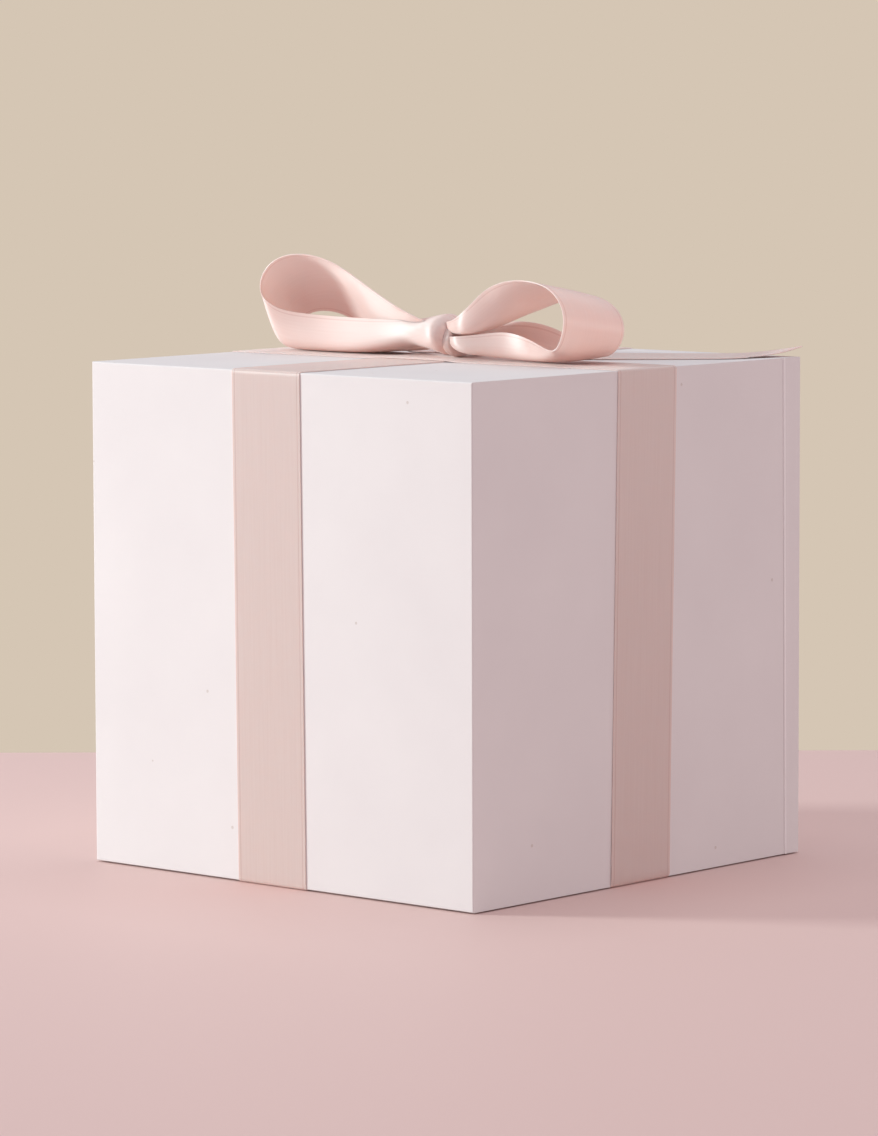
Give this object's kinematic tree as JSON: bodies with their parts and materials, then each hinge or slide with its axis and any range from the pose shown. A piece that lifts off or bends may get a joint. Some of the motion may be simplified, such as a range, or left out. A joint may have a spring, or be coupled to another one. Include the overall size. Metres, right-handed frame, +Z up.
{
  "type": "gift box",
  "caption": "Cube gift box of paper-covered board with a lift-off lid, tied with satin ribbon bands and a soft bow.",
  "frame": {"origin": "centre of the surface the box stands on, under the box's centre", "axes": "+Z up, -Y out of the plain front panel, +Y out of the lid, +X to the right of the front"},
  "size_m": [0.1406, 0.1406, 0.1622],
  "materials": {
    "greyboard": "matt grey board",
    "cover_paper": "white laid-look covering paper, matt",
    "lining_paper": "smooth white lining paper",
    "corner_tape": "brown gummed paper tape",
    "neck_card": "white-lined card",
    "satin_ribbon": "blush double-faced satin"
  },
  "bodies": {
    "box": {"base_board": "greyboard", "base_corner_tapes": "corner_tape", "base_wrap": "cover_paper", "base_lining": "lining_paper", "neck_left": "neck_card", "neck_right": "neck_card", "neck_top": "neck_card", "neck_bottom": "neck_card", "side_to_side_band": "satin_ribbon", "front_band": "satin_ribbon", "knot": "satin_ribbon"},
    "lid": {"lid_board": "greyboard", "lid_corner_tapes": "corner_tape", "lid_wrap": "cover_paper", "lid_lining": "lining_paper", "lid_band": "satin_ribbon"},
    "left_loop": {"bow_loop_left": "satin_ribbon"},
    "right_loop": {"bow_loop_right": "satin_ribbon"},
    "left_tail": {"bow_tail_left": "satin_ribbon"},
    "right_tail": {"bow_tail_right": "satin_ribbon"}
  },
  "joints": [
    {"name": "lid_slide", "type": "slide", "parent": "box", "child": "lid", "axis": [0, 1, 0], "range_m": [0, 0.15]},
    {"name": "left_loop_lift", "type": "hinge", "parent": "box", "child": "left_loop", "pos_m": [-0.0089, 0, 0.1482], "axis": [0, 1, 0], "range_deg": [0, 35]},
    {"name": "right_loop_lift", "type": "hinge", "parent": "box", "child": "right_loop", "pos_m": [0.0089, 0, 0.1482], "axis": [0, -1, 0], "range_deg": [0, 35]},
    {"name": "left_tail_lift", "type": "hinge", "parent": "box", "child": "left_tail", "pos_m": [-0.0045, 0.0104, 0.1418], "axis": [1, 0, 0], "range_deg": [0, 50]},
    {"name": "right_tail_lift", "type": "hinge", "parent": "box", "child": "right_tail", "pos_m": [0.0045, 0.0104, 0.1418], "axis": [1, 0, 0], "range_deg": [0, 50]}
  ]
}
